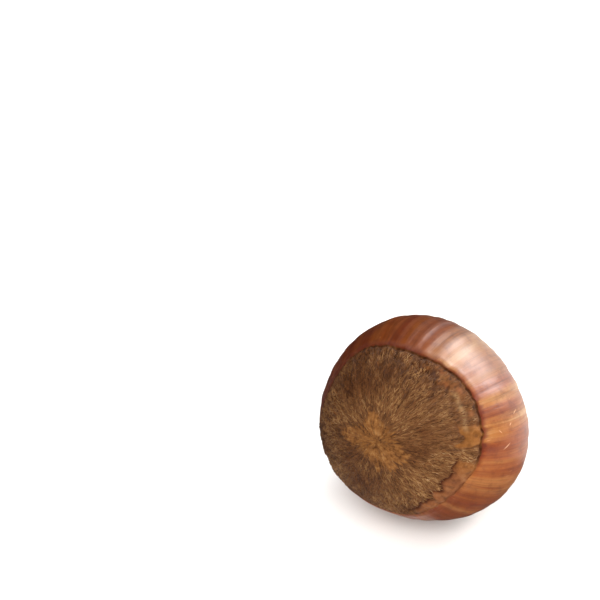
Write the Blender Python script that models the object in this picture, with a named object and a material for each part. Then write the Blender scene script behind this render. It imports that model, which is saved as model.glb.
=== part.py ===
# A hazelnut in its shell, lying on its side with the large base scar turned up and to the front.
# The nut grew as one piece, so it is one solid: a unit sphere whose points are moved out to the
# nut's surface by formulas, first for the swollen body and then for the relief that shows from
# a step away: the scar's rim and nodules, its radial furrows and star, the shell's ribs and the
# beak at the tip. A point is named by two angles: "fall" runs from the crown of the scar (0) to
# the tip (180 degrees), and "turn" runs round the nut's own axis from the row's +X.

import math
import random

import bmesh
import bpy
from mathutils import Matrix, Vector

# Body, in metres: distances from the middle of the nut to its surface
BASE_HALF = 0.00958
TIP_HALF = 0.01047
WAIST_RADIUS = 0.01004
SHOULDER_HOLLOW = 0.00017
BASE_TAPER = 0.00043
OVAL_SWELL = 0.00032
OVAL_TURN = math.radians(-25)
THREE_SIDED_SWELL = 0.00027
THREE_SIDED_TURN = math.radians(-13)
LEAN = 0.00017
SWELL = 0.00039
LEAN_TURN = math.radians(147)

# How the nut lies: its axis rises to the scar by this angle, over a small flat spot at the origin
AXIS_RISE = math.radians(23.5)
MIDDLE = Vector((-0.00022, -0.00051, 0.00985))

# Scar rim: the edge of the shell, a circle with a few waves, each (times round, degrees, turn)
RIM_FALL = math.radians(61.9)
RIM_WAVES = ((1, 2.05, -55.3), (2, 4.15, 53.8), (3, 1.04, 12.3), (4, 2.0, 28.1), (5, 1.42, -10.5))
LIP_HEIGHT = 0.00008
LIP_OFFSET = 0.00035
LIP_WIDTH = 0.00030
GROOVE_DEPTH = 0.00024
GROOVE_OFFSET = -0.00014
GROOVE_WIDTH = 0.00022

# Nodules in the margin between the rim and the fibrous disc
NODULE_SEED = 7
NODULE_COUNT = 30
NODULE_HEIGHT = 0.00028
NODULE_LENGTH = 0.00062
NODULE_WIDTH = 0.00045
NODULE_WORN = 0.22
MARGIN = 0.0011
MARGIN_WIDER = 0.0009
MARGIN_WIDER_TURN = math.radians(22)

# Fibrous disc: radial furrows, and a low star of bare tissue round a dimple at the crown
FURROW_DEPTH = 0.00006
FURROW_COUNTS = (19, 30)
DIMPLE_DEPTH = 0.00030
DIMPLE_RADIUS = 0.00080
STAR_HEIGHT = 0.00009
STAR_REACH = math.radians(11.5)
STAR_ARMS = ((-176, 25), (113, 18), (-14, 22), (-45, 20), (-73, 18))
STAR_ARM_WIDTH = math.radians(19)
STAR_EDGE = math.radians(2.5)

# Shell: low ribs that run from the rim to the tip, and the beak that the style leaves there
RIB_HEIGHT = 0.00006
RIB_COUNTS = (11, 17, 26)
RIB_START = 0.0006
RIB_FULL = 0.0030
RIB_END = math.radians(168)
BEAK_HEIGHT = 0.00062
BEAK_RADIUS = 0.0019
STYLE_HEIGHT = 0.00045
STYLE_RADIUS = 0.00045

# Mesh: the sphere's rings are drawn together at the rim and at the tip
SEGMENTS = 120
RINGS = 46
RIM_RING_SHARE = 0.43
RING_CROWDING = 0.62


def ease(start, end, value):
    """0 before start, 1 after end, and smooth between."""
    share = min(max((value - start) / (end - start), 0.0), 1.0)
    return share * share * (3 - 2 * share)


def bump(offset, width):
    """1 at no offset, dying away over the width."""
    return math.exp(-((offset / width) ** 2))


def turn_between(turn, other):
    """The shorter way round between two turns."""
    return (turn - other + math.pi) % (2 * math.pi) - math.pi


def body_radius(fall, turn):
    """Middle to surface on the smooth body, with no relief."""
    along = math.cos(fall)
    across = math.sin(fall)
    halves = (BASE_HALF + TIP_HALF) / 2 - WAIST_RADIUS
    radius = WAIST_RADIUS + halves * along**2 + (BASE_HALF - TIP_HALF) / 2 * along
    radius -= SHOULDER_HOLLOW * math.sin(2 * fall) ** 2 + BASE_TAPER * across**2 * along
    radius += OVAL_SWELL * across**2 * math.cos(2 * (turn - OVAL_TURN))
    radius += THREE_SIDED_SWELL * across**3 * math.cos(3 * (turn - THREE_SIDED_TURN))
    leaning = LEAN * math.sin(2 * fall) + SWELL * across * (5 * along**2 - 1) / 4
    return radius + leaning * math.cos(turn - LEAN_TURN)


def rim_fall(turn):
    """The fall at which the shell begins, on this side of the nut."""
    fall = RIM_FALL
    for times, degrees, highest in RIM_WAVES:
        fall += math.radians(degrees) * math.cos(times * (turn - math.radians(highest)))
    return fall


def margin_width(turn):
    """Width of the nodules' band inside the rim."""
    return MARGIN + MARGIN_WIDER * math.cos((turn - MARGIN_WIDER_TURN) / 2) ** 4


def place_nodules():
    """Each nodule as (turn, distance inside the rim, length, height), worn low on the far side."""
    draw = random.Random(NODULE_SEED)
    step = 2 * math.pi / NODULE_COUNT
    nodules = []
    for number in range(NODULE_COUNT):
        turn = (number + draw.uniform(-0.28, 0.28)) * step
        inside = margin_width(turn) * draw.uniform(0.40, 0.62)
        size = draw.uniform(0.45, 1.0)
        facing = math.cos((turn - MARGIN_WIDER_TURN) / 2) ** 6
        height = NODULE_HEIGHT * size * (NODULE_WORN + (1 - NODULE_WORN) * facing)
        nodules.append((turn, inside, NODULE_LENGTH * size, height))
    return nodules


def nodule_relief(from_rim, turn, girth, nodules):
    """Height of the nodules at a point this far from the rim, where the nut has this girth radius."""
    relief = 0.0
    for nodule_turn, inside, length, height in nodules:
        sideways = girth * turn_between(turn, nodule_turn)
        if abs(sideways) < 3 * NODULE_LENGTH:
            here = bump(sideways, length) * bump(from_rim + inside, NODULE_WIDTH)
            relief = max(relief, height * here)
    return relief


def rim_relief(from_rim):
    """The shell's raised lip and the groove that parts it from the scar."""
    lip = LIP_HEIGHT * bump(from_rim - LIP_OFFSET, LIP_WIDTH)
    return lip - GROOVE_DEPTH * bump(from_rim - GROOVE_OFFSET, GROOVE_WIDTH)


def star_reach(turn):
    """How far the bare star spreads from the crown on this side."""
    reach = STAR_REACH
    for arm_turn, arm_reach in STAR_ARMS:
        beside = bump(turn_between(turn, math.radians(arm_turn)), STAR_ARM_WIDTH)
        reach = max(reach, STAR_REACH + (math.radians(arm_reach) - STAR_REACH) * beside)
    return reach


def scar_relief(fall, turn, from_rim):
    """Furrows, star and dimple of the fibrous disc."""
    reach = star_reach(turn)
    outside_star = ease(0, 2 * STAR_EDGE, fall - reach)
    inside_margin = 1 - ease(-2 * MARGIN, -MARGIN, from_rim)
    waves = sum(math.cos(count * turn + count) for count in FURROW_COUNTS) / len(FURROW_COUNTS)
    relief = FURROW_DEPTH * waves * outside_star * inside_margin
    relief += STAR_HEIGHT * (1 - ease(-STAR_EDGE, STAR_EDGE, fall - reach))
    return relief - DIMPLE_DEPTH * bump(fall * BASE_HALF, DIMPLE_RADIUS)


def shell_relief(fall, turn, from_rim):
    """Ribs along the shell, and the beak with the style's stump at the tip."""
    waves = sum(math.cos(count * turn + 2 * count) for count in RIB_COUNTS) / len(RIB_COUNTS)
    shown = ease(RIB_START, RIB_FULL, from_rim) * (1 - ease(RIB_END - 0.5, RIB_END, fall))
    from_tip = (math.pi - fall) * TIP_HALF
    beak = BEAK_HEIGHT * bump(from_tip, BEAK_RADIUS) + STYLE_HEIGHT * bump(from_tip, STYLE_RADIUS)
    return RIB_HEIGHT * waves * shown + beak


def surface_radius(fall, turn, nodules):
    """Middle to surface at these two angles, relief included."""
    radius = body_radius(fall, turn)
    from_rim = (fall - rim_fall(turn)) * radius
    relief = rim_relief(from_rim) + nodule_relief(from_rim, turn, radius * math.sin(fall), nodules)
    return radius + relief + scar_relief(fall, turn, from_rim) + shell_relief(fall, turn, from_rim)


def ring_fall(share, turn):
    """Where the ring that is this share of the way from crown to tip lies, crowded at the rim."""
    rim = rim_fall(turn)
    if share < RIM_RING_SHARE:
        back = 1 - share / RIM_RING_SHARE
        return rim * (1 - (1 - RING_CROWDING) * back - RING_CROWDING * back**2)
    on = (share - RIM_RING_SHARE) / (1 - RIM_RING_SHARE)
    crowded = on - RING_CROWDING * math.sin(2 * math.pi * on) / (2 * math.pi)
    return rim + (math.pi - rim) * crowded


def shape_nut():
    """The whole nut round its own axis, with the crown of the scar up +Z."""
    nodules = place_nodules()
    mesh = bmesh.new()
    bmesh.ops.create_uvsphere(mesh, u_segments=SEGMENTS, v_segments=RINGS, radius=1)
    for vertex in mesh.verts:
        share = math.acos(min(max(vertex.co.z, -1.0), 1.0)) / math.pi
        turn = math.atan2(vertex.co.y, vertex.co.x)
        fall = ring_fall(share, turn)
        outward = Vector((math.sin(fall) * math.cos(turn), math.sin(fall) * math.sin(turn), math.cos(fall)))
        vertex.co = outward * surface_radius(fall, turn, nodules)
    return mesh


def lay_down(mesh):
    """Tips the axis over so that the scar faces -Y and up, and moves the nut over the origin."""
    tip_over = Matrix.Rotation(math.pi / 2 - AXIS_RISE, 4, "X")
    bmesh.ops.transform(mesh, matrix=Matrix.Translation(MIDDLE) @ tip_over, verts=mesh.verts)


def flatten_below(mesh):
    """Cuts the nut off level at the surface it lies on, which leaves the small flat spot."""
    everything = mesh.verts[:] + mesh.edges[:] + mesh.faces[:]
    bmesh.ops.bisect_plane(mesh, geom=everything, dist=1e-7, plane_no=(0, 0, 1), clear_inner=True)
    bmesh.ops.holes_fill(mesh, edges=[edge for edge in mesh.edges if edge.is_boundary])
    bmesh.ops.recalc_face_normals(mesh, faces=mesh.faces)


def shell_material():
    """Polished reddish-brown nutshell."""
    material = bpy.data.materials.new("polished_nutshell")
    material.use_nodes = True
    shader = material.node_tree.nodes["Principled BSDF"]
    shader.inputs["Base Color"].default_value = (0.30, 0.09, 0.03, 1)
    shader.inputs["Roughness"].default_value = 0.35
    shader.inputs["Metallic"].default_value = 0.0
    return material


def add_object(name, mesh, material):
    """Puts the mesh in the scene, shaded smooth, in a collection named for the nut."""
    data = bpy.data.meshes.new(name)
    mesh.to_mesh(data)
    mesh.free()
    data.shade_smooth()
    data.set_sharp_from_angle(angle=math.radians(60))
    data.materials.append(material)
    part = bpy.data.objects.new(name, data)
    collection = bpy.data.collections.new("Hazelnut")
    bpy.context.scene.collection.children.link(collection)
    collection.objects.link(part)
    return part


def build():
    for old in list(bpy.data.objects):
        bpy.data.objects.remove(old)
    mesh = shape_nut()
    lay_down(mesh)
    flatten_below(mesh)
    add_object("hazelnut", mesh, shell_material())


build()
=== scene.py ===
# %% [markdown]
# # A hazelnut in its shell
#
# A hazelnut is a woody fruit. It has three surfaces that look quite different: the polished
# shell, the dull fibrous base scar where the nut sat in its husk, and the downy tip. The
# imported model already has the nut's form. This lesson gives it a finer surface on the same
# form, then the fibres, the down and the finishes, and lights it on a pale table.

# %% Load the frame
import math
import random

import bmesh
import bpy
import numpy as np
from mathutils import Matrix, Vector


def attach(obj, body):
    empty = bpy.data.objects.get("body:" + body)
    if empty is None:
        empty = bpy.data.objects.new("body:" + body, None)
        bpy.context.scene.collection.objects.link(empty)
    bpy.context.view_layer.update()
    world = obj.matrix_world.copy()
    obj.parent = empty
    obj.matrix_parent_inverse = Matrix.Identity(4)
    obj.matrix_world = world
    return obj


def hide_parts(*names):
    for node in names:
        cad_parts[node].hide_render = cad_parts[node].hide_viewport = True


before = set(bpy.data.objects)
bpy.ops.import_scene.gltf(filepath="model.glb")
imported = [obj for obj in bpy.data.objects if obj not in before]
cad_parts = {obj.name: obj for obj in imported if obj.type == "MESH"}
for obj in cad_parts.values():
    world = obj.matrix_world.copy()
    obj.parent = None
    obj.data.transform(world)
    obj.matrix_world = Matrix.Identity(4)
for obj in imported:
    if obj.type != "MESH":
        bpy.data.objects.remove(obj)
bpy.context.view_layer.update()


# %% [markdown]
# ## The camera
#
# A photograph of something this small is taken from close by or with a long lens. The nut's
# outline shows little perspective, so a long lens far back is the better match. The camera
# looks down at 40 degrees, and it is aimed past the nut so that the nut sits low on the right
# of the picture. Aiming the camera does this with no lens shift. The camera turns from the nut
# to its aim by the shortest way, which keeps the nut upright in the picture.

# %% Camera
MIDDLE = Vector((-0.00022, -0.00051, 0.00985))
ELEVATION = math.radians(40)
AZIMUTH = math.radians(28.5)
PIXELS_PER_METRE = 10300
DISTANCE = 3600 / PIXELS_PER_METRE
AIM_UP, AIM_LEFT = 120.9 / PIXELS_PER_METRE, 119.8 / PIXELS_PER_METRE
ACROSS = Vector((math.cos(AZIMUTH), math.sin(AZIMUTH), 0))
BACK = Vector((
    math.sin(AZIMUTH) * math.cos(ELEVATION),
    -math.cos(AZIMUTH) * math.cos(ELEVATION),
    math.sin(ELEVATION),
))

lens = bpy.data.cameras.new("camera")
lens.lens = 216
lens.sensor_width = 36
lens.clip_start = 0.01
camera = bpy.data.objects.new("camera", lens)
bpy.context.scene.collection.objects.link(camera)
upward = BACK.cross(ACROSS)
aim = MIDDLE + upward * AIM_UP - ACROSS * AIM_LEFT
camera.location = MIDDLE + BACK * DISTANCE
facing_nut = Matrix((ACROSS, upward, BACK)).transposed()
aside = (-BACK).rotation_difference(aim - camera.location).to_matrix()
camera.rotation_euler = (aside @ facing_nut).to_euler()
bpy.context.scene.camera = camera
print("camera", [round(v, 4) for v in camera.location])

# %% [markdown]
# ## The nut's form
#
# A nut isn't a turned shape: it is oval, a little three-sided, and it leans. One formula that
# gives the distance from its middle to its surface holds all of that in a few numbers. A point
# is named by two angles. "Fall" runs from the crown of the scar to the tip, and "turn" runs
# round the nut. These are the same values that the solid was built from.

# %% Values of the form, in millimetres
BASE_HALF, TIP_HALF, WAIST_RADIUS = 9.58, 10.47, 10.04
SHOULDER_HOLLOW, BASE_TAPER = 0.17, 0.43
OVAL_SWELL, OVAL_TURN = 0.32, math.radians(-25)
THREE_SIDED_SWELL, THREE_SIDED_TURN = 0.27, math.radians(-13)
LEAN, SWELL, LEAN_TURN = 0.17, 0.39, math.radians(147)
AXIS_RISE = math.radians(23.5)
LIP_HEIGHT, LIP_OFFSET, LIP_WIDTH = 0.03, 0.45, 0.40
GROOVE_DEPTH, GROOVE_OFFSET, GROOVE_WIDTH = 0.20, -0.16, 0.13
BEAK_HEIGHT, BEAK_RADIUS = 0.62, 1.9
STYLE_HEIGHT, STYLE_RADIUS = 0.45, 0.45


def ease(start, end, value):
    """0 before start, 1 after end, and smooth between."""
    share = np.clip((value - start) / (end - start), 0, 1)
    return share * share * (3 - 2 * share)


def bump(offset, width):
    """1 at no offset, dying away over the width."""
    return np.exp(-((offset / width) ** 2))


def turn_between(turn, other):
    """The shorter way round between two turns."""
    return (turn - other + np.pi) % (2 * np.pi) - np.pi


def body_radius(fall, turn):
    """Middle to surface on the smooth body, in mm."""
    along, across = np.cos(fall), np.sin(fall)
    radius = WAIST_RADIUS + ((BASE_HALF + TIP_HALF) / 2 - WAIST_RADIUS) * along**2
    radius = radius + (BASE_HALF - TIP_HALF) / 2 * along
    radius = radius - SHOULDER_HOLLOW * np.sin(2 * fall) ** 2 - BASE_TAPER * across**2 * along
    radius = radius + OVAL_SWELL * across**2 * np.cos(2 * (turn - OVAL_TURN))
    radius = radius + THREE_SIDED_SWELL * across**3 * np.cos(3 * (turn - THREE_SIDED_TURN))
    leaning = LEAN * np.sin(2 * fall) + SWELL * across * (5 * along**2 - 1) / 4
    return radius + leaning * np.cos(turn - LEAN_TURN)


print("height of the body over the crown:", round(float(body_radius(0.0, 0.0)), 2), "mm")

# %% [markdown]
# ## Natural unevenness
#
# Nothing on a nut is even. A sum of waves with seeded random directions and phases makes an
# uneven field that always comes out the same. Each wave goes a whole number of times round
# the nut, so the field closes on itself with no seam.

# %% Uneven waves
def waves(seed, fall, turn, round_from, round_to, along_most, count=24):
    """An uneven field of about -1 to 1: each wave goes round the nut between these counts."""
    draw = np.random.default_rng(seed)
    total = 0
    for _ in range(count):
        times_round = int(draw.integers(round_from, round_to + 1))
        along = draw.uniform(-along_most, along_most)
        total = total + np.cos(times_round * turn + along * fall + draw.uniform(0, 2 * np.pi))
    return total / math.sqrt(count / 2) / 1.6


def side(turn, start, end, soft=14):
    """1 on the side of the nut between two turns in degrees, fading over the soft edge."""
    half = (end - start) / 2
    off = np.abs(turn_between(turn, math.radians(start + half)))
    return ease(math.radians(half + soft), math.radians(half), off)


RIM_FALL = math.radians(61.9)
RIM_WAVES = ((1, 2.05, -55.3), (2, 4.15, 53.8), (3, 1.04, 12.3), (4, 2.0, 28.1), (5, 1.42, -10.5))


def rim_fall(turn):
    """Where the shell begins: a circle with a few large waves and the small ones of a torn edge."""
    torn = np.radians(0.18 + 0.32 * side(turn, -60, 62, 20))
    fall = RIM_FALL + torn * waves(3, 0, turn, 9, 40, 0)
    for times, degrees, highest in RIM_WAVES:
        fall = fall + math.radians(degrees) * np.cos(times * (turn - math.radians(highest)))
    return fall


def margin_width(turn):
    """Width of the nodules' band inside the rim, in mm, with a scalloped inner edge."""
    wide = 1.0 + 1.5 * np.cos(turn_between(turn, math.radians(26)) / 2) ** 6
    return wide * (0.95 + 0.20 * waves(4, 0, turn, 14, 44, 0))


print("rim from", round(math.degrees(rim_fall(0.0)), 1), "degrees of fall at turn 0")

# %% [markdown]
# ## Relief of the scar, the rim and the shell
#
# The scar's margin is a row of woody nodules behind a dark crevice. Inside it lies a mat of
# fibres in radial furrows, with a bare star round the crown. On the shell, low ribs and fine
# striations run to the tip. Each is a height in mm that is added to the form, so that they can
# be tuned apart. The finishes need to know the same places, so each function also gives shares
# from 0 to 1 that say where its marks are.

# %% Nodules and the pits between them
NODULE_COUNT, PIT_COUNT = 30, 84


def nodule_places():
    """Each nodule as (turn, distance inside the rim, length, height), as the solid has them."""
    draw = random.Random(7)
    places = []
    for number in range(NODULE_COUNT):
        turn = (number + draw.uniform(-0.28, 0.28)) * 2 * math.pi / NODULE_COUNT
        wide = 1.1 + 0.9 * math.cos((turn - math.radians(22)) / 2) ** 4
        inside, size = wide * draw.uniform(0.40, 0.62), draw.uniform(0.45, 1.0)
        facing = math.cos((turn - math.radians(22)) / 2) ** 6
        places.append((turn, inside, 0.62 * size, 0.28 * size * (0.22 + 0.78 * facing)))
    return places


NODULES = nodule_places()


def nodule_height(from_rim, turn, girth):
    """Height of the nodules, in mm, at a point this far from the rim."""
    relief = np.zeros_like(from_rim)
    for place, inside, length, height in NODULES:
        sideways = girth * turn_between(turn, place)
        relief = np.maximum(relief, height * bump(sideways, length) * bump(from_rim + inside, 0.45))
    return relief


def pit_depth(from_rim, turn, girth, width):
    """1 in the pits between the nodules, 0 outside them: fewer and smaller on the wide side."""
    draw = np.random.default_rng(31)
    depth = np.zeros_like(from_rim)
    for number in range(PIT_COUNT):
        place = (number + draw.uniform(-0.4, 0.4)) * 2 * np.pi / PIT_COUNT
        inside = draw.uniform(0.25, 0.95)
        long, wide = draw.uniform(0.10, 0.26), draw.uniform(0.08, 0.20)
        strength = draw.uniform(0.3, 1.0) - 0.55 * float(side(place, -70, 52, 20))
        if strength > 0:
            sideways = girth * turn_between(turn, place)
            here = bump(sideways, long) * bump(from_rim + inside * width, wide)
            depth = np.maximum(depth, strength * here)
    return depth


print("largest nodule", round(max(height for _, _, _, height in NODULES), 2), "mm high")

# %% Star and dimple of the crown
STAR_ARMS = ((-176, 25), (113, 18), (-14, 22), (-45, 20), (-73, 18))
STAR_REACH = math.radians(11.5)


def star_share(fall, turn):
    """1 on the bare star round the crown, 0 outside it, with a torn edge."""
    reach = np.full_like(turn, STAR_REACH)
    for arm, arm_reach in STAR_ARMS:
        beside = bump(turn_between(turn, math.radians(arm)), math.radians(19))
        reach = np.maximum(reach, STAR_REACH + (math.radians(arm_reach) - STAR_REACH) * beside)
    reach = reach * (1 + 0.16 * waves(5, fall, turn, 8, 46, 6))
    return 1 - ease(-math.radians(1.6), math.radians(1.6), fall - reach)


print("star covers the crown:", float(star_share(np.array([0.02]), np.array([0.0]))[0]))

# %% Golden and rusty bands of the shell: turn and width in degrees, strength
BANDS = (
    (17, 5.5, 1.4), (36, 5.0, 0.75), (27, 2.5, -0.1), (3, 6.0, 0.1), (49, 2.5, 0.25),
    # The wide golden band at 68 degrees lies under the window's highlight: partly the shell's
    # colour, partly a painted highlight that makes the gloss there creamier.
    (68, 17.0, 0.75), (-20, 16, 0.35), (-50, 8, -0.5), (158, 42, -0.55),
)
BANDS_FADE_FROM, BANDS_FADE_TO = 1.9, 2.6


def golden_bands(fall, turn):
    """Above 0 on the golden bands of this nut's shell and below 0 on the rusty ones."""
    wander = turn + math.radians(1.5) * waves(15, fall, turn, 1, 7, 5)
    golden = 0
    for middle, width, strength in BANDS:
        beside = turn_between(wander, math.radians(middle))
        golden = golden + strength * bump(beside, math.radians(width))
    return golden * (1 - 0.75 * ease(BANDS_FADE_FROM, BANDS_FADE_TO, fall))


print("bands:", len(BANDS))

# %% Stain
STAIN_FALL, STAIN_TURN, STAIN_RADIUS = math.radians(53.9), math.radians(68.5), 9.6


def stain_share(fall, turn, girth):
    """1 in a small dark stain that runs askew over the scar, 0 outside it."""
    outward = STAIN_RADIUS * (fall - STAIN_FALL)
    round_nut = girth * turn_between(turn, STAIN_TURN)
    along, across = (outward + round_nut) / math.sqrt(2), (outward - round_nut) / math.sqrt(2)
    return 0.85 * bump(along, 0.60) * bump(across, 0.26)


print("stain in its middle:", stain_share(STAIN_FALL, STAIN_TURN, 1.0))

# %% Bare woody nodules of this nut's margin: fall, turn, half height and half length in mm
WOODY = (
    (59.6, 48, 0.50, 0.62), (54.7, 56.6, 0.40, 0.50),
    (58.5, 66, 0.30, 0.45), (60.0, 31, 0.35, 0.40),
)
WOODY_RADIUS = 9.3


def woody_share(fall, turn, girth):
    """1 on the bare nodules, 0 outside them."""
    share = 0
    for at, by, high, long in WOODY:
        outward = WOODY_RADIUS * (fall - math.radians(at))
        sideways = girth * turn_between(turn, math.radians(by))
        share = share + bump(outward, high) * bump(sideways, long)
    return share


print("bare nodules:", len(WOODY))

# %% Rim: the lip of the shell, and the dark groove inside it
GAP_OFFSET, GAP_WIDTH = -0.06, 0.11


def rim_marks(from_rim, turn):
    """The rim's relief, and shares of the painted shade in its groove and of the rusty edge with
    painted shade.
    """
    uneven_lip = LIP_HEIGHT * (1 + 0.35 * waves(6, 0, turn, 5, 30, 0))
    lip = uneven_lip * bump(from_rim - LIP_OFFSET, LIP_WIDTH)
    parted = 0.25 + 0.55 * side(turn, 4, 205, 20)
    uneven = GROOVE_DEPTH * (1 + 0.3 * waves(7, 0, turn, 12, 60, 0))
    groove = uneven * bump(from_rim - GROOVE_OFFSET, GROOVE_WIDTH) * parted

    # Painted shade: a dark line along the groove between shell and scar, stronger on some sides.
    gap_width = GAP_WIDTH + 0.04 * waves(28, 0, turn, 26, 96, 0)
    darkness = 0.22 + 0.36 * side(turn, 4, 205, 16) + 0.17 * side(turn, 4, 62, 12)
    darkness = darkness + 0.35 * side(turn, 4, 34, 8) + 0.15 * side(turn, -62, -6, 8)
    broken = 0.9 + 0.4 * waves(22, 0, turn, 20, 90, 0)
    groove_shade = bump(from_rim - GAP_OFFSET, gap_width) * darkness * broken

    teeth = np.clip(0.75 + waves(29, 0, turn, 34, 110, 0), 0, 2)
    rust_reach = 0.30 + 0.50 * side(turn, 3, 36, 8) * teeth
    rust = ease(rust_reach, 0.0, from_rim) * (0.10 + 0.80 * side(turn, 4, 205, 16))
    # Painted shade: the shell's edge is darker on the far side of the rim, away from the lights.
    far_rim_painted_shade = 0.6 * ease(0.8, 0.1, from_rim) * side(turn, 92, 205, 26)
    return lip - groove, groove_shade, np.maximum(rust, far_rim_painted_shade)


print("the gap lies", -GAP_OFFSET, "mm inside the rim")

# %% Margin: the band of nodules and pits inside the rim
CREVICE_WIDTH, CREVICE_DEPTH = 0.15, 0.14
PIT_DEPTH, CREASE_DEPTH, GNARL_HEIGHT = 0.12, 0.05, 0.05
CRACK_TURN, CRACK_WIDTH = math.radians(8), 0.08


def margin_marks(fall, turn, from_rim, girth, in_margin, on_shell):
    """The margin's relief, and the shares of its crevice, nodules and pits."""
    width = margin_width(turn)
    crevice_width = CREVICE_WIDTH + 0.07 * side(turn, -62, -24, 12)
    crevice = bump(from_rim + width, crevice_width) * (1 - on_shell)
    crevice = crevice * (0.22 + 0.78 * side(turn, -64, -8))
    nodules = nodule_height(from_rim, turn, girth)
    pits = pit_depth(from_rim, turn, girth, width) * (1 - on_shell)
    wrinkles = ease(0.35, 1.1, waves(23, fall, turn, 24, 80, 70))
    creases = in_margin * wrinkles * (1 - 0.4 * side(turn, -62, 24, 10))
    askew = girth * turn_between(turn, CRACK_TURN) + 0.12 * np.sin(3 * from_rim)
    crack = bump(askew, CRACK_WIDTH) * ease(-1.9, -1.5, from_rim) * ease(0.0, -0.2, from_rim)

    worn = 0.3 + 0.7 * side(turn, -50, 130, 60)
    gnarls = in_margin * GNARL_HEIGHT * waves(8, fall, turn, 20, 90, 60)
    hollows = PIT_DEPTH * pits + CREASE_DEPTH * creases + CREVICE_DEPTH * crevice
    relief = nodules + worn * (gnarls - hollows)
    # Painted shade: the pits, the creases and the crack are painted darker.
    dark = np.maximum(np.maximum(ease(0.15, 0.8, pits), 0.7 * creases), 0.8 * crack)
    return relief, crevice, np.minimum(nodules / 0.20, 1), dark


print("pits are up to", PIT_DEPTH, "mm deep")

# %% Felt: radial furrows and tufts, the star and the pale ridge beside the margin
FURROW_HEIGHT, COMB_HEIGHT, TUFT_HEIGHT, RIDGE_HEIGHT = 0.05, 0.040, 0.035, 0.10
STAR_HEIGHT, STAR_ROUGHNESS = 0.09, 0.05
DIMPLE_DEPTH, DIMPLE_RADIUS = 0.30, 0.62
RIDGE_OFFSET, RIDGE_WIDTH = -1.75, 0.28


def felt_marks(fall, turn, from_rim, girth, on_felt):
    """The felt's relief, and the shares of the star, the furrow round it and the ridge."""
    star = star_share(fall, turn)
    halo = np.clip(star_share(fall - math.radians(4.0), turn) - star, 0, 1)
    ridge_offset = RIDGE_OFFSET - 0.12 * waves(27, 0, turn, 8, 30, 0)
    ridge = 0.4 * bump(from_rim - ridge_offset, RIDGE_WIDTH) * side(turn, 24, 46, 8)

    furrows = FURROW_HEIGHT * waves(9, fall, turn, 19, 30, 2)
    combed = COMB_HEIGHT * waves(10, fall, turn, 45, 110, 14)
    tufts = TUFT_HEIGHT * waves(26, fall, turn, 20, 90, 85)
    felt = on_felt * (1 - star) * ease(2.0, 4.5, girth) * (furrows + combed + tufts)
    grain = waves(11, fall, turn, 3, 16, 26) * ease(0.2, 1.2, girth)
    raised = STAR_HEIGHT * star + STAR_ROUGHNESS * star * grain
    dimple = DIMPLE_DEPTH * bump(fall * BASE_HALF, DIMPLE_RADIUS)
    return felt + RIDGE_HEIGHT * ridge + raised - dimple, star, halo, ridge


print("dimple", DIMPLE_DEPTH, "mm deep")

# %% Shell: ribs, striations, small dents and the beak
RIB_HEIGHT, STRIA_HEIGHT, DENT_HEIGHT = 0.03, 0.020, 0.014


def shell_relief(fall, turn, from_rim, to_tip):
    """Relief of the shell in mm. The ribs die out at the rim and under the down."""
    ribs = (np.cos(11 * turn + 22) + np.cos(17 * turn + 34) + np.cos(26 * turn + 52)) / 3
    ribbed = ease(0.6, 3.0, from_rim) * (1 - ease(2.43, 2.93, fall))
    off_tip = ease(1.5, 4.0, to_tip)
    striae = STRIA_HEIGHT * waves(12, fall, turn, 18, 60, 1.2) * ease(0.2, 1.0, from_rim)
    dents = DENT_HEIGHT * waves(13, fall, turn, 2, 14, 12) * ease(0.2, 1.5, from_rim)
    beak = BEAK_HEIGHT * bump(to_tip, BEAK_RADIUS) + STYLE_HEIGHT * bump(to_tip, STYLE_RADIUS)
    return RIB_HEIGHT * ribs * ribbed + (striae + dents) * off_tip + beak


print("ribs are", RIB_HEIGHT, "mm high")

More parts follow.
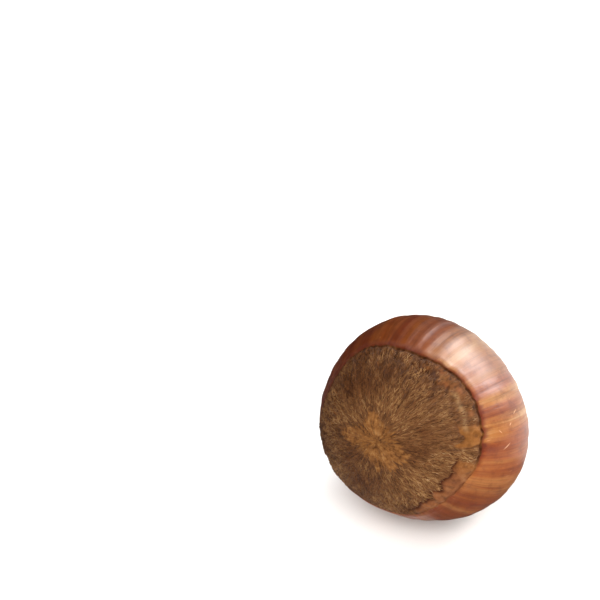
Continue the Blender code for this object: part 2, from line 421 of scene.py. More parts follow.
# %% All the relief together
def surface(fall, turn):
    """Middle to surface in mm with the relief, and the fields that the finishes need."""
    radius = body_radius(fall, turn)
    girth = radius * np.sin(fall)
    from_rim = (fall - rim_fall(turn)) * radius
    to_tip = (np.pi - fall) * TIP_HALF
    felt_edge = from_rim + margin_width(turn)
    on_shell = ease(0.0, 0.15, from_rim)
    in_margin = ease(-0.10, 0.10, felt_edge) * (1 - on_shell)
    on_felt = (1 - in_margin) * (1 - on_shell)

    rim, groove_shade, edge = rim_marks(from_rim, turn)
    margin, crevice, knob, pit = margin_marks(fall, turn, from_rim, girth, in_margin, on_shell)
    felt, star, halo, ridge = felt_marks(fall, turn, from_rim, girth, on_felt)
    relief = rim + margin + felt + shell_relief(fall, turn, from_rim, to_tip)

    bared = side(turn, -60, -5, 5) + side(turn, 10, 21, 5)
    bare = 0.12 + 0.30 * side(turn, 40, 75) + 0.10 * side(turn, 43, 61, 6) + 0.80 * bared
    tan = np.minimum(1, 0.55 * side(turn, 10, 20, 4) + 0.25 * side(turn, -12, -4, 4))
    # Painted shade: the shell is darker on its far side, away from the lights, and low on the
    # right.
    painted_shade_sides = 1 - 0.36 * side(turn, 96, 190, 26) - 0.17 * side(turn, -80, -30, 22)
    fields = {
        "from_rim": from_rim,
        "to_tip": to_tip,
        "felt_edge": felt_edge,
        "star": star,
        "halo": halo,
        "ridge": ridge,
        # Painted shade in the margin's crevice and in the rim's groove.
        "crevice": np.clip(np.maximum(crevice, 0.8 * groove_shade), 0, 1),
        "knob": knob,
        "pit": pit,
        "edge": edge,
        "bare": in_margin * bare,
        "woody": woody_share(fall, turn, girth),
        "pinkish": in_margin * 0.62 * side(turn, -62, -16),
        "tan": in_margin * tan,
        "stain": stain_share(fall, turn, girth),
        "gold": golden_bands(fall, turn),
        "calm": 0.75 - 0.45 * side(turn, 48, 90, 16),
        # Painted shade, also under the highlight so that the gloss there looks whiter.
        "shade": painted_shade_sides - 0.16 * side(turn, 50, 78, 12),
        # Painted shade on the far upper part of the scar, where little light falls.
        "scar_painted_shade": 0.75 * side(turn, 75, 185, 45) * ease(0.30, 0.75, fall),
    }
    return radius + relief, fields


def laid_down(fall, turn, radius):
    """Points in the row's frame, in metres: tipped over so that the scar faces -Y and up."""
    x = radius * np.sin(fall) * np.cos(turn)
    y = radius * np.sin(fall) * np.sin(turn)
    z = radius * np.cos(fall)
    tip_over = np.array(Matrix.Rotation(math.pi / 2 - AXIS_RISE, 3, "X"))
    return np.stack([x, y, z], axis=-1) @ tip_over.T / 1000 + np.array(MIDDLE)


crown = laid_down(np.zeros(1), np.zeros(1), np.array([BASE_HALF]))
print("crown at", crown.round(4).tolist())

# %% [markdown]
# ## The fine surface
#
# A sphere could be subdivided and displaced by a modifier, but a modifier can't crowd its
# points where the detail is. Here the rings of a plain UV sphere are slid along the nut so
# that they lie close together at the rim and one of them follows it exactly. That gives the
# shell and the scar a clean border between their two finishes.

# %% Fine sphere
SEGMENTS, RINGS, SCAR_RINGS = 512, 186, 92


def ring_fall(share, turn):
    """Where the ring at this share of the way from crown to tip lies."""
    rim = rim_fall(turn)
    rim_share = SCAR_RINGS / RINGS
    back = 1 - np.clip(share / rim_share, 0, 1)
    on_scar = rim * (1 - 0.45 * back - 0.55 * back**2)
    on = np.clip((share - rim_share) / (1 - rim_share), 0, 1)
    on_shell = rim + (np.pi - rim) * (0.45 * on + 0.55 * on**2 - 0.28 * on**2 * (1 - on))
    return np.where(share < rim_share, on_scar, on_shell)


sphere = bmesh.new()
bmesh.ops.create_uvsphere(sphere, u_segments=SEGMENTS, v_segments=RINGS, radius=1)
fine = bpy.data.meshes.new("hazelnut_surface")
sphere.to_mesh(fine)
sphere.free()
unit = np.empty(len(fine.vertices) * 3)
fine.vertices.foreach_get("co", unit)
unit = unit.reshape(-1, 3)
turns = np.arctan2(unit[:, 1], unit[:, 0])
falls = ring_fall(np.arccos(np.clip(unit[:, 2], -1, 1)) / np.pi, turns)
radii, fields = surface(falls, turns)
places = laid_down(falls, turns, radii)
lowest = places[:, 2].min()
places[:, 2] = np.maximum(places[:, 2], 0)
fine.vertices.foreach_set("co", places.astype(np.float32).ravel())
print("points:", len(places), "the flat spot is", round(-lowest * 1000, 2), "mm deep")

# %% [markdown]
# ## Fields for the finishes
#
# A finish that follows the surface needs to know where it is on the nut. These values are
# stored on the points as attributes: distances in mm such as "from_rim", shares such as "star",
# and a few that say how the two sides of this nut differ. "Calm" weakens the random bands.
# "shade" is painted shade: it darkens the shell's far side, away from the lights, its lower right,
# and the colour under the highlight. A second field of painted shade darkens the far upper part of
# the scar and its fibres. "Grain" is a vector that runs round and along the nut, and a pattern
# that is stretched in it makes streaks from the rim to the tip with no seam. It is in millimetres,
# near enough, so a noise of scale 1 in it has grains of about 1 mm.

# %% Attributes
def triangle_count(mesh):
    """How many triangles the mesh's faces come to."""
    return sum(len(face.vertices) - 2 for face in mesh.polygons)


GRAIN_RADIUS = 10
NOT_PAINTED = ("felt_edge", "halo")
grain = GRAIN_RADIUS * np.stack([np.cos(turns), np.sin(turns), falls], axis=-1)
grain_attribute = fine.attributes.new("grain", "FLOAT_VECTOR", "POINT")
grain_attribute.data.foreach_set("vector", grain.astype(np.float32).ravel())
for name, values in fields.items():
    if name not in NOT_PAINTED:
        attribute = fine.attributes.new(name, "FLOAT", "POINT")
        attribute.data.foreach_set("value", values.astype(np.float32))
fine.shade_smooth()
nut = bpy.data.objects.new("hazelnut_surface", fine)
bpy.context.scene.collection.objects.link(nut)
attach(nut, "root")
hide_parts("hazelnut")
print("attributes:", len(fine.attributes), "triangles:", triangle_count(fine))

# %% [markdown]
# ## Tools for the finishes
#
# Colours are written as the hex values a picture editor shows. Blender's shaders work in
# linear light, so one function turns them. One small function adds a node, and a few shorter
# ones use it for the nodes that every finish repeats.

# %% Colour and node helpers
def linear(hex_colour):
    """An sRGB hex colour as linear RGBA."""
    values = [int(hex_colour[i:i + 2], 16) / 255 for i in (1, 3, 5)]
    return tuple(v / 12.92 if v <= 0.04045 else ((v + 0.055) / 1.055) ** 2.4 for v in values) + (1,)


def add_node(material, kind, inputs=None, **settings):
    """Adds a node; an input's value is a number, a colour or another node's output."""
    node = material.node_tree.nodes.new(kind)
    for name, value in settings.items():
        setattr(node, name, value)
    for socket, value in (inputs or {}).items():
        if isinstance(value, bpy.types.NodeSocket):
            material.node_tree.links.new(value, node.inputs[socket])
        else:
            node.inputs[socket].default_value = value
    return node


print("mid grey in linear light:", round(linear("#808080")[0], 3))

# %% What the finishes repeat, each as a node's output
def field(material, name, output="Fac"):
    """A field that is stored on the points."""
    return add_node(material, "ShaderNodeAttribute", attribute_name=name).outputs[output]


def stretched(material, place, scale):
    """Places scaled along each axis: the smaller the scale, the longer the streaks."""
    return add_node(material, "ShaderNodeMapping", {"Vector": place, "Scale": scale}).outputs[0]


def noise(material, place, scale, detail=2.0, roughness=0.5):
    """An uneven field around 0.5. More detail adds finer grains, and roughness strengthens them."""
    inputs = {"Vector": place, "Scale": scale, "Detail": detail, "Roughness": roughness}
    return add_node(material, "ShaderNodeTexNoise", inputs).outputs["Fac"]


def reckoned(material, operation, *values):
    """One step of arithmetic."""
    inputs = dict(enumerate(values))
    return add_node(material, "ShaderNodeMath", inputs, operation=operation).outputs[0]


def vector_math(material, operation, *values, output="Vector"):
    """One step of arithmetic on vectors. A length or a dot product is under "Value"."""
    inputs = dict(enumerate(values))
    node = add_node(material, "ShaderNodeVectorMath", inputs, operation=operation)
    return node.outputs[output]


def ranged(material, value, start, end, most, least=0.0):
    """Goes from least where the value is start to most where it is end, and no further."""
    inputs = {"Value": value, "From Min": start, "From Max": end, "To Min": least, "To Max": most}
    return add_node(material, "ShaderNodeMapRange", inputs).outputs[0]


def ramp(material, value, *stops):
    """A value turned into colours, by stops of (value, hex colour)."""
    node = add_node(material, "ShaderNodeValToRGB", {"Fac": value})
    elements = node.color_ramp.elements
    while len(elements) < len(stops):
        elements.new(0.5)
    for element, (place, colour) in zip(elements, stops):
        element.position = place
        element.color = linear(colour)
    return node.outputs["Color"]


def layered(material, share, under, over, blend="MIX"):
    """One colour over another where the share is 1. The upper one may be a hex colour."""
    colours = {0: share, 6: under, 7: linear(over) if isinstance(over, str) else over}
    node = add_node(material, "ShaderNodeMix", colours, data_type="RGBA", blend_type=blend)
    return node.outputs[2]


print("white stays 1 in linear light:", linear("#ffffff")[0])

# %% [markdown]
# ## Polished nutshell
#
# The shell is a hard woody wall with a natural waxy polish. It is reddish brown, with lighter
# golden bands and darker veins along it: the traces of the vessels that fed the nut. The bands
# are 2 to 3 mm wide, the veins about 0.7 mm and the finest lines 0.15 mm, and a mottle of about
# 1 mm lies over them. The colour also holds painted shade on the shell's far side, and the golden
# band under the window's shine is partly a painted highlight. The gloss is soft and broken into
# streaks, because the veins stand up a little, and it is duller at the rim and under the down. An
# index of refraction of 1.5 is usual for wood and wax. A few pale scratches show where the polish
# has been rubbed through.

# %% Golden bands along the shell
shell = bpy.data.materials.new("polished_nutshell")
shell.use_nodes = True
shell_shader = shell.node_tree.nodes["Principled BSDF"]
along = field(shell, "grain", "Vector")
band_place = stretched(shell, along, (0.42, 0.42, 0.035))
bands = noise(shell, band_place, 1.0, 4.0, 0.6)
unevenness = reckoned(shell, "SUBTRACT", bands, 0.5)
calmer = reckoned(shell, "MULTIPLY_ADD", unevenness, field(shell, "calm"), 0.5)
golden = reckoned(shell, "MULTIPLY_ADD", field(shell, "gold"), 0.17, calmer)
band_colour = ramp(
    shell, golden,
    (0.28, "#521d07"), (0.42, "#702f0f"), (0.52, "#864618"), (0.61, "#955f2e"), (0.71, "#ab875a"),
)
print("band nodes:", len(shell.node_tree.nodes))

# %% Veins, fine lines and flecks
vein_place = stretched(shell, along, (1.5, 1.5, 0.06))
veins = noise(shell, vein_place, 1.0, 5.0, 0.62)
vein_shade = ramp(shell, veins, (0.34, "#8f7062"), (0.45, "#e2d8d0"), (0.56, "#ffffff"))
veined = layered(shell, 0.36, band_colour, vein_shade, "MULTIPLY")
line_place = stretched(shell, along, (7.0, 7.0, 0.22))
lines = noise(shell, line_place, 1.0, 3.0, 0.6)
line_shade = ramp(shell, lines, (0.33, "#a0887a"), (0.47, "#f0e8e2"), (0.62, "#ffffff"))
lined = layered(shell, 0.42, veined, line_shade, "MULTIPLY")
fleck_place = stretched(shell, along, (3.4, 3.4, 0.8))
flecks = noise(shell, fleck_place, 1.0, 2.0)
fleck_share = ranged(shell, flecks, 0.70, 0.78, 0.5)
flecked = layered(shell, fleck_share, lined, "#c08a5c")
print("with veins, lines and flecks:", len(shell.node_tree.nodes))

# %% Rusty edge with painted shade on its far side, pale tip and mottle
# The rim's edge: real rust on the right, and painted shade on the far side.
edged = layered(shell, field(shell, "edge"), flecked, "#5a1f07")
hoar_share = ranged(shell, field(shell, "to_tip"), 7.5, 2.0, 0.7)
hoary = layered(shell, hoar_share, edged, "#a58a72")
mottle_object = add_node(shell, "ShaderNodeTexCoord").outputs["Object"]
mottle = noise(shell, mottle_object, 850.0, 5.0, 0.65)
mottle_shade = ramp(shell, mottle, (0.36, "#c4aa9c"), (0.50, "#f6f0ea"), (0.64, "#ffffff"))
mottled = layered(shell, 0.6, hoary, mottle_shade, "MULTIPLY")
print("with edge, tip and mottle:", len(shell.node_tree.nodes))

# %% Scratches: fall, turn, slant from the nut's length, half length and half width in mm
SCRATCHES = (
    (math.radians(81.2), math.radians(6.1), math.radians(-32), 0.62, 0.07),
    (math.radians(77.0), math.radians(15.0), math.radians(48), 0.30, 0.05),
    (math.radians(86.0), math.radians(17.5), math.radians(-40), 0.24, 0.07),
    (math.radians(93.0), math.radians(203.0), math.radians(24), 0.50, 0.06),
    (math.radians(112.0), math.radians(-108.0), math.radians(-42), 0.40, 0.06),
)
scratched = mottled
for fall_at, turn_at, slant, length, width in SCRATCHES:
    centre = tuple(GRAIN_RADIUS * v for v in (math.cos(turn_at), math.sin(turn_at), fall_at))
    at_mark = vector_math(shell, "SUBTRACT", along, centre)
    sideways = (-math.sin(turn_at), math.cos(turn_at))
    across_mark = tuple(math.cos(slant) * v for v in sideways) + (math.sin(slant),)
    along_mark = tuple(-math.sin(slant) * v for v in sideways) + (math.cos(slant),)
    shares = []
    for direction, half in ((along_mark, length), (across_mark, width)):
        distance = vector_math(shell, "DOT_PRODUCT", at_mark, direction, output="Value")
        shares.append(reckoned(shell, "DIVIDE", distance, half))
    both = add_node(shell, "ShaderNodeCombineXYZ", {"X": shares[0], "Y": shares[1]}).outputs[0]
    reach = vector_math(shell, "LENGTH", both, output="Value")
    scratched = layered(shell, ranged(shell, reach, 1.0, 0.4, 0.6), scratched, "#d0a37c")
# Painted shade: the shell's colour is multiplied by the stored shade.
with_painted_shade = vector_math(shell, "MULTIPLY", scratched, field(shell, "shade"))
shell.node_tree.links.new(with_painted_shade, shell_shader.inputs["Base Color"])
print("scratches:", len(SCRATCHES))

# %% Gloss, broken by the veins and dull at both ends
shell_rough = ranged(shell, veins, 0.3, 0.7, 0.36, 0.50)
dull_edge = ranged(shell, field(shell, "from_rim"), 0.7, 0.2, 0.3)
dull = reckoned(shell, "ADD", shell_rough, dull_edge)
dull_tip = reckoned(shell, "ADD", dull, hoar_share)
shell.node_tree.links.new(dull_tip, shell_shader.inputs["Roughness"])
shell_shader.inputs["IOR"].default_value = 1.5
shell_shader.inputs["Specular IOR Level"].default_value = 0.36
raised_veins = {"Height": veins, "Strength": 0.35, "Distance": 0.0001}
vein_bump = add_node(shell, "ShaderNodeBump", raised_veins).outputs[0]
raised_lines = {"Height": lines, "Strength": 0.3, "Distance": 0.00003, "Normal": vein_bump}
line_bump = add_node(shell, "ShaderNodeBump", raised_lines).outputs[0]
shell.node_tree.links.new(line_bump, shell_shader.inputs["Normal"])
print("shell nodes:", len(shell.node_tree.nodes))

# %% [markdown]
# ## Fibrous scar
#
# The scar is the torn end of the vessels: a dull mat of short fibres over dark brown cork,
# with no gloss at all. The star and the nodules are bare woody tissue, tan to orange. The
# crevices, the groove at the rim and the pits are painted dark rust brown as painted shade, and
# the far upper part of the scar is painted darker as painted shade too. It takes a high
# roughness, and the stored fields say where each colour lies. The cork under the fibres has
# radial streaks of about 0.3 mm.

# %% Cork and the bare star
scar = bpy.data.materials.new("fibrous_scar_cork")
scar.use_nodes = True
scar_shader = scar.node_tree.nodes["Principled BSDF"]
scar_grain = field(scar, "grain", "Vector")
object_place = add_node(scar, "ShaderNodeTexCoord").outputs["Object"]
fibre_place = stretched(scar, scar_grain, (3.2, 3.2, 0.5))
fibre_noise = noise(scar, fibre_place, 1.0, 5.0, 0.7)
cork = ramp(
    scar, fibre_noise,
    (0.32, "#2f1b0e"), (0.48, "#553720"), (0.62, "#70492c"), (0.75, "#8a6440"),
)
patch_place = stretched(scar, scar_grain, (0.9, 0.9, 1.1))
patch_lines = noise(scar, patch_place, 1.0, 6.0, 0.72)
patch_grains = noise(scar, object_place, 1500.0, 5.0, 0.7)
patch_noise = add_node(scar, "ShaderNodeMix", {0: 0.6, 2: patch_lines, 3: patch_grains}).outputs[0]
star_colour = ramp(
    scar, patch_noise,
    (0.40, "#3a210f"), (0.46, "#5e3b1d"), (0.53, "#744b26"), (0.62, "#886038"),
)
starred = layered(scar, field(scar, "star"), cork, star_colour)
print("cork and star nodes:", len(scar.node_tree.nodes))

# %% Margin: bare nodules over the felt, with dark pits
margin_noise = noise(scar, object_place, 900.0, 6.0, 0.7)
margin_colour = ramp(
    scar, margin_noise,
    (0.38, "#2f1a0c"), (0.46, "#5c3519"), (0.54, "#7a4c27"), (0.63, "#916742"),
)
bare_field = field(scar, "bare")
woody_field = field(scar, "woody")
bare_mask = reckoned(scar, "MAXIMUM", bare_field, woody_field)
knob_share = reckoned(scar, "MULTIPLY", field(scar, "knob"), bare_mask)
nodular = layered(scar, knob_share, margin_colour, "#764c2a")
for share, colour in (
    (field(scar, "tan"), "#825223"), (field(scar, "pinkish"), "#72442a"), (woody_field, "#7b4b2c"),
):
    nodular = layered(scar, share, nodular, colour)
# Painted shade: the pits, creases and crack are painted dark in the margin and the felt.
pit_painted_shade = field(scar, "pit")
pitted = layered(scar, pit_painted_shade, nodular, "#3a2010")
felt_pit = layered(scar, pit_painted_shade, starred, "#2a170b")
margined = layered(scar, bare_mask, felt_pit, pitted)
print("with the margin:", len(scar.node_tree.nodes))

# %% Pale ridge, stain, painted shade in the crevices and on the far side
ridged = layered(scar, field(scar, "ridge"), margined, "#a5845c")
stained = layered(scar, field(scar, "stain"), ridged, "#432e24")
# Painted shade: the crevices and the groove at the rim are painted dark.
with_crevice_shade = layered(scar, field(scar, "crevice"), stained, "#3a1b0c")
# Painted shade: the far upper part of the scar is multiplied darker.
scar_with_painted_shade = layered(scar, field(scar, "scar_painted_shade"), with_crevice_shade, "#cfc2b4", "MULTIPLY")
scar.node_tree.links.new(scar_with_painted_shade, scar_shader.inputs["Base Color"])
scar_shader.inputs["Roughness"].default_value = 0.9
scar_shader.inputs["IOR"].default_value = 1.45
scar_shader.inputs["Specular IOR Level"].default_value = 0.2
raised_fibres = {"Height": fibre_noise, "Strength": 0.6, "Distance": 0.0002}
scar_bump = add_node(scar, "ShaderNodeBump", raised_fibres).outputs[0]
scar.node_tree.links.new(scar_bump, scar_shader.inputs["Normal"])
print("scar nodes:", len(scar.node_tree.nodes))

# %% Give the faces their finish
fine.materials.append(shell)
fine.materials.append(scar)
inside = np.zeros(len(fine.polygons), dtype=np.int32)
distances = fields["from_rim"]
for number, face in enumerate(fine.polygons):
    inside[number] = distances[face.vertices[0]] + distances[face.vertices[-2]] < 0
fine.polygons.foreach_set("material_index", inside)
print("faces on the scar:", int(inside.sum()))

# %% [markdown]
# ## Fibres of the scar
#
# The mat could be a bump, but its fibres catch the light one by one and cast small shadows.
# They are drawn as curves with a thin bevel, because a curve makes a tapered thread from four
# points, and then turned into one mesh. Each lies along the scar and points away from the
# crown, a little astray. They are a quarter to half a millimetre long. The real ones are finer
# than 0.05 mm; these are up to 0.12 mm thick so that they show in the picture.

# %% Threads on the surface
FELT_RADIUS, LEAST_GIRTH, THREAD_POINTS = 9.8, 0.8, 4
THREAD_RISE = np.array([-0.02, 0.7, 1.0, 0.75])
THREAD_TAPER = np.array([1.0, 0.95, 0.7, 0.2])


def threads(name, starts, headings, lengths, lifts, thickness):
    """A mesh of tapered threads that lie on the nut, from starts (fall, turn) along headings."""
    curve = bpy.data.curves.new(name, "CURVE")
    curve.dimensions = "3D"
    curve.bevel_depth = 1.0
    curve.bevel_resolution = 0
    steps = np.linspace(0, 1, THREAD_POINTS)
    reaches = lengths[:, None] * steps
    fall = starts[:, :1] + np.cos(headings)[:, None] * reaches / FELT_RADIUS
    girth = np.maximum(FELT_RADIUS * np.sin(starts[:, :1]), LEAST_GIRTH)
    turn = starts[:, 1:] + np.sin(headings)[:, None] * reaches / girth
    height, _ = surface(fall, turn)
    points = laid_down(fall, turn, height + lifts[:, None] * THREAD_RISE)
    weights = np.ones(THREAD_POINTS)
    for place, thick in zip(points, thickness):
        spline = curve.splines.new("POLY")
        spline.points.add(THREAD_POINTS - 1)
        spline.points.foreach_set("co", np.column_stack([place, weights]).ravel())
        spline.points.foreach_set("radius", thick / 1000 * THREAD_TAPER)
    maker = bpy.data.objects.new(name, curve)
    bpy.context.scene.collection.objects.link(maker)
    bpy.context.view_layer.update()
    finished = maker.evaluated_get(bpy.context.evaluated_depsgraph_get())
    mesh = bpy.data.meshes.new_from_object(finished)
    bpy.data.objects.remove(maker)
    mesh.name = name
    mesh.shade_smooth()
    return mesh


print("points along a thread:", THREAD_POINTS)

# %% A layer of the mat
SCAR_MOST_FALL, DOWN_LEAST_FALL = math.radians(66), math.radians(132)
draw = np.random.default_rng(21)


def bare_places(at, turn, longest):
    """True where a fibre is left out: on bare tissue, in pits, and at the margin's bare parts."""
    count = len(turn)
    bare = 0.95 * at["star"] + 1.3 * np.maximum(at["bare"], at["woody"])
    bare = bare + 0.5 * at["stain"] + at["pit"]
    on_bare = draw.uniform(0, 1, count) < bare
    passes = at["felt_edge"] + 0.8 * longest > draw.uniform(-0.1, 0.3, count)
    bared = side(turn, -66, -5, 4) + side(turn, 10, 21, 4) > 0.5
    at_rim = at["from_rim"] >= -0.2 - 0.8 * longest
    return at_rim | on_bare | (passes & bared)


def fibre_tones(at, starts, tone_from, tone_to):
    """Each fibre's tone, from 0 for dark to 1 for pale."""
    fall, turn = starts[:, 0], starts[:, 1]
    tones = draw.beta(2.2, 2.9, len(starts)) * (tone_to - tone_from) + tone_from
    # Painted light and shade: fibres are paler on the right, where the light comes from, and darker
    # on the far upper part and low down.
    tones = tones + 0.17 * waves(25, fall, turn, 8, 60, 34) - 0.19 * at["scar_painted_shade"]
    tones = tones + 0.10 * side(turn, -20, 50, 40) - 0.05 * side(turn, -110, -50, 20)
    return np.clip(tones - 0.22 * at["halo"] + 0.35 * at["ridge"], 0, 1)


def fibre_layer(name, tries, longest, lift, thickness, tone_from, tone_to):
    """One layer of the mat: threads scattered evenly over the scar, fewer on bare tissue."""
    turn = draw.uniform(-np.pi, np.pi, tries)
    fall = np.arccos(draw.uniform(math.cos(SCAR_MOST_FALL), 1, tries))
    _, at = surface(fall, turn)
    kept = ~bare_places(at, turn, longest)
    at = {field: values[kept] for field, values in at.items()}
    starts = np.column_stack([fall, turn])[kept]
    count = len(starts)
    combed = waves(24, starts[:, 0], starts[:, 1], 4, 30, 22)
    wilder = 1 + 0.6 * side(starts[:, 1], 100, 250, 40)
    astray = np.radians(13 * draw.normal(0, 1, count) + 8 * combed) * wilder
    length = draw.uniform(0.45, 1, count) * longest
    high = draw.uniform(0.2, 1, count) * lift
    thick = draw.uniform(0.5, 1, count) * thickness
    mesh = threads(name, starts, astray, length, high, thick)
    tones = fibre_tones(at, starts, tone_from, tone_to)
    tones = np.repeat(tones, len(mesh.vertices) // count).astype(np.float32)
    mesh.attributes.new("tone", "FLOAT", "POINT").data.foreach_set("value", tones)
    layer = bpy.data.objects.new(name, mesh)
    bpy.context.scene.collection.objects.link(layer)
    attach(layer, "root")
    print(name, "threads:", count, "triangles:", triangle_count(mesh))
    return layer


print("fibres lie up to", round(math.degrees(SCAR_MOST_FALL)), "degrees from the crown")

# %% The two layers: coarse felt, and finer and paler fibrils above it
felt_layer = fibre_layer("scar_felt", 9500, 0.56, 0.05, 0.058, 0.05, 0.78)
fibril_layer = fibre_layer("scar_fibrils", 7200, 0.52, 0.08, 0.035, 0.2, 0.88)

# %% [markdown]
# ## Finish of the fibres
#
# Dry plant fibre is dull and runs from dark brown to pale straw. Each thread keeps its own
# tone, and patches of the mat are darker where dirt and tannin stay in it.

# %% Fibre finish
fibre = bpy.data.materials.new("dry_plant_fibre")
fibre.use_nodes = True
fibre_shader = fibre.node_tree.nodes["Principled BSDF"]
tone = field(fibre, "tone")
fibre_object = add_node(fibre, "ShaderNodeTexCoord").outputs["Object"]
fibre_patches = noise(fibre, fibre_object, 260.0, 3.0)
tone_colour = ramp(
    fibre, tone,
    (0.0, "#452a17"), (0.3, "#684527"), (0.6, "#86603a"), (0.85, "#96714b"), (1.0, "#a4825e"),
)
patch_shade = ramp(
    fibre, fibre_patches,
    (0.35, "#a0806a"), (0.60, "#ffffff"),
)
fibre_mix = layered(fibre, 0.8, tone_colour, patch_shade, "MULTIPLY")
fibre.node_tree.links.new(fibre_mix, fibre_shader.inputs["Base Color"])
fibre_shader.inputs["Roughness"].default_value = 0.8
fibre_shader.inputs["Specular IOR Level"].default_value = 0.25
for layer in (felt_layer, fibril_layer):
    layer.data.materials.append(fibre)
print("fibre nodes:", len(fibre.node_tree.nodes))

# %% [markdown]
# ## Down at the tip
#
# The last quarter of the shell is covered with short pale hairs that lie towards the tip. They
# are made as the fibres are, but about 0.02 mm thick, and they thin out away from the tip.

# %% Down
DOWN_REACH, DOWN_MOST, STYLE_CLEAR = 8.0, 8200, 0.4
tries = 21000
down_turn = draw.uniform(-np.pi, np.pi, tries)
down_fall = np.arccos(draw.uniform(-1, math.cos(DOWN_LEAST_FALL), tries))
from_tip = (np.pi - down_fall) * TIP_HALF
uneven_edge = 1.3 * waves(16, down_fall, down_turn, 2, 22, 4)
dense = draw.uniform(0, 1, tries) < 1 - ease(1.5, DOWN_REACH, from_tip + uneven_edge)
kept = dense & (from_tip > STYLE_CLEAR)
starts = np.column_stack([down_fall, down_turn])[kept][:DOWN_MOST]
count = len(starts)
down_mesh = threads(
    "tip_down",
    starts,
    draw.normal(0, math.radians(24), count),
    draw.uniform(0.22, 0.52, count),
    draw.uniform(0.01, 0.06, count),
    draw.uniform(0.007, 0.012, count),
)
print("down hairs:", count, "faces:", len(down_mesh.polygons))

# %% Finish of the down: dull and greyish, with a little of the shell's tan
down_finish = bpy.data.materials.new("pale_plant_down")
down_finish.use_nodes = True
down_shader = down_finish.node_tree.nodes["Principled BSDF"]
down_object = add_node(down_finish, "ShaderNodeTexCoord").outputs["Object"]
down_noise = noise(down_finish, down_object, 900.0)
down_colour = ramp(
    down_finish, down_noise,
    (0.35, "#8f7a64"), (0.65, "#b9a88f"),
)
down_finish.node_tree.links.new(down_colour, down_shader.inputs["Base Color"])
down_shader.inputs["Roughness"].default_value = 0.7
down_mesh.materials.append(down_finish)
down = bpy.data.objects.new("tip_down", down_mesh)
bpy.context.scene.collection.objects.link(down)
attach(down, "root")
print("finish:", down_finish.name)

# %% [markdown]
# ## Table and light
#
# The nut lies on a plain white table by a window. The window is behind it on the right, and
# its broad reflection makes the streaked highlight on the shell. That highlight is whiter than
# one light gives, so a second panel beside the window lights the gloss alone. A light from the
# right front and a soft one overhead open the shadows. Both stay out of the gloss, which they
# would veil with grey.

# %% Table, 3 m square
TABLE_HALF = 1.5
table = bmesh.new()
bmesh.ops.create_grid(table, x_segments=1, y_segments=1, size=TABLE_HALF)
table_mesh = bpy.data.meshes.new("table")
table.to_mesh(table_mesh)
table.free()
paint = bpy.data.materials.new("white_matt_paint")
paint.use_nodes = True
paint_shader = paint.node_tree.nodes["Principled BSDF"]
paint_shader.inputs["Base Color"].default_value = linear("#f2f1ef")
paint_shader.inputs["Roughness"].default_value = 0.7
table_mesh.materials.append(paint)
floor = bpy.data.objects.new("table", table_mesh)
bpy.context.scene.collection.objects.link(floor)
print("table:", 2 * TABLE_HALF, "m square")

# %% Lights
def area_light(name, direction, distance, size, power, colour):
    """A square soft light that shines at the nut from this direction."""
    light = bpy.data.lights.new(name, "AREA")
    light.size = size
    light.energy = power
    light.color = linear(colour)[:3]
    lamp = bpy.data.objects.new(name, light)
    towards = Vector(direction).normalized()
    lamp.location = MIDDLE + towards * distance
    lamp.rotation_euler = (-towards).to_track_quat("-Z", "Y").to_euler()
    bpy.context.scene.collection.objects.link(lamp)
    return lamp


area_light("window", (0.34, 0.80, 0.49), 0.6, 0.34, 3.7, "#fffdfb")
pane = area_light("window_gloss", (0.32, 0.77, 0.55), 0.6, 0.38, 5.6, "#f6f9ff")
pane.visible_diffuse = False
side_light = area_light("room", (0.66, -0.56, 0.60), 0.8, 0.85, 11.0, "#fffdfb")
side_light.visible_glossy = False
overhead = area_light("ceiling", (-0.35, -0.25, 0.90), 1.0, 1.2, 11.7, "#ffffff")
overhead.visible_glossy = False

# %% [markdown]
# ## Cards for the reflections
#
# A polished nut mirrors all that is round it. On a real table, other things stand close by and
# keep its sides dark. On an empty white table its sides turn pale. A product photographer sets
# dark cards beside the thing, and so does this scene: the cards are seen by reflections only,
# and they cast no shadow.

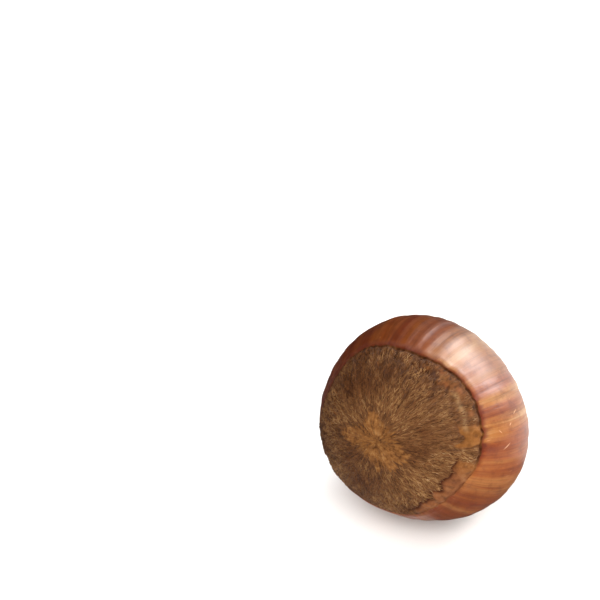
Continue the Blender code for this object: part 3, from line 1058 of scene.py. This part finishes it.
# %% Cards
def flag(name, half, place, colour):
    """A matt card that only reflections see: it holds back the shine of what lies behind it."""
    card = bmesh.new()
    bmesh.ops.create_grid(card, x_segments=1, y_segments=1, size=half)
    bmesh.ops.transform(card, matrix=place, verts=card.verts)
    mesh = bpy.data.meshes.new(name)
    card.to_mesh(mesh)
    card.free()
    velvet = bpy.data.materials.new(name + "_velvet")
    velvet.use_nodes = True
    velvet_shader = velvet.node_tree.nodes["Principled BSDF"]
    velvet_shader.inputs["Base Color"].default_value = linear(colour)
    velvet_shader.inputs["Roughness"].default_value = 1.0
    mesh.materials.append(velvet)
    held = bpy.data.objects.new(name, mesh)
    bpy.context.scene.collection.objects.link(held)
    held.visible_camera = False
    held.visible_diffuse = False
    held.visible_shadow = False


upright = Matrix.Rotation(math.radians(47), 4, "Z") @ Matrix.Rotation(math.radians(90), 4, "X")
flag("dark_card", 0.025, Matrix.Translation((-0.026, 0.024, 0.016)) @ upright, "#1c0c06")
flag("left_card", 0.020, Matrix.Translation((-0.031, 0.010, 0.0004)), "#1c0c06")
flag("grey_card", 0.017, Matrix.Translation((0.021, -0.008, 0.0004)), "#75675e")

# %% [markdown]
# ## Surroundings
#
# The room is pale where the camera sees it, so the ground is as white as in the photograph. It
# lights and mirrors much less than that, so that the lights above shape the nut.

# %% Surroundings
LIGHTING_STRENGTH, SEEN_STRENGTH = 0.14, 0.95
world = bpy.data.worlds.new("pale_room")
bpy.context.scene.world = world
world.use_nodes = True
room = world.node_tree
seen = room.nodes.new("ShaderNodeLightPath")
strength = room.nodes.new("ShaderNodeMapRange")
strength.inputs["To Min"].default_value = LIGHTING_STRENGTH
strength.inputs["To Max"].default_value = SEEN_STRENGTH
room.links.new(seen.outputs["Is Camera Ray"], strength.inputs["Value"])
room.links.new(strength.outputs[0], room.nodes["Background"].inputs["Strength"])
room.nodes["Background"].inputs["Color"].default_value = linear("#f6f5f4")
bpy.context.scene.view_settings.view_transform = "Standard"
print("surroundings:", world.name)
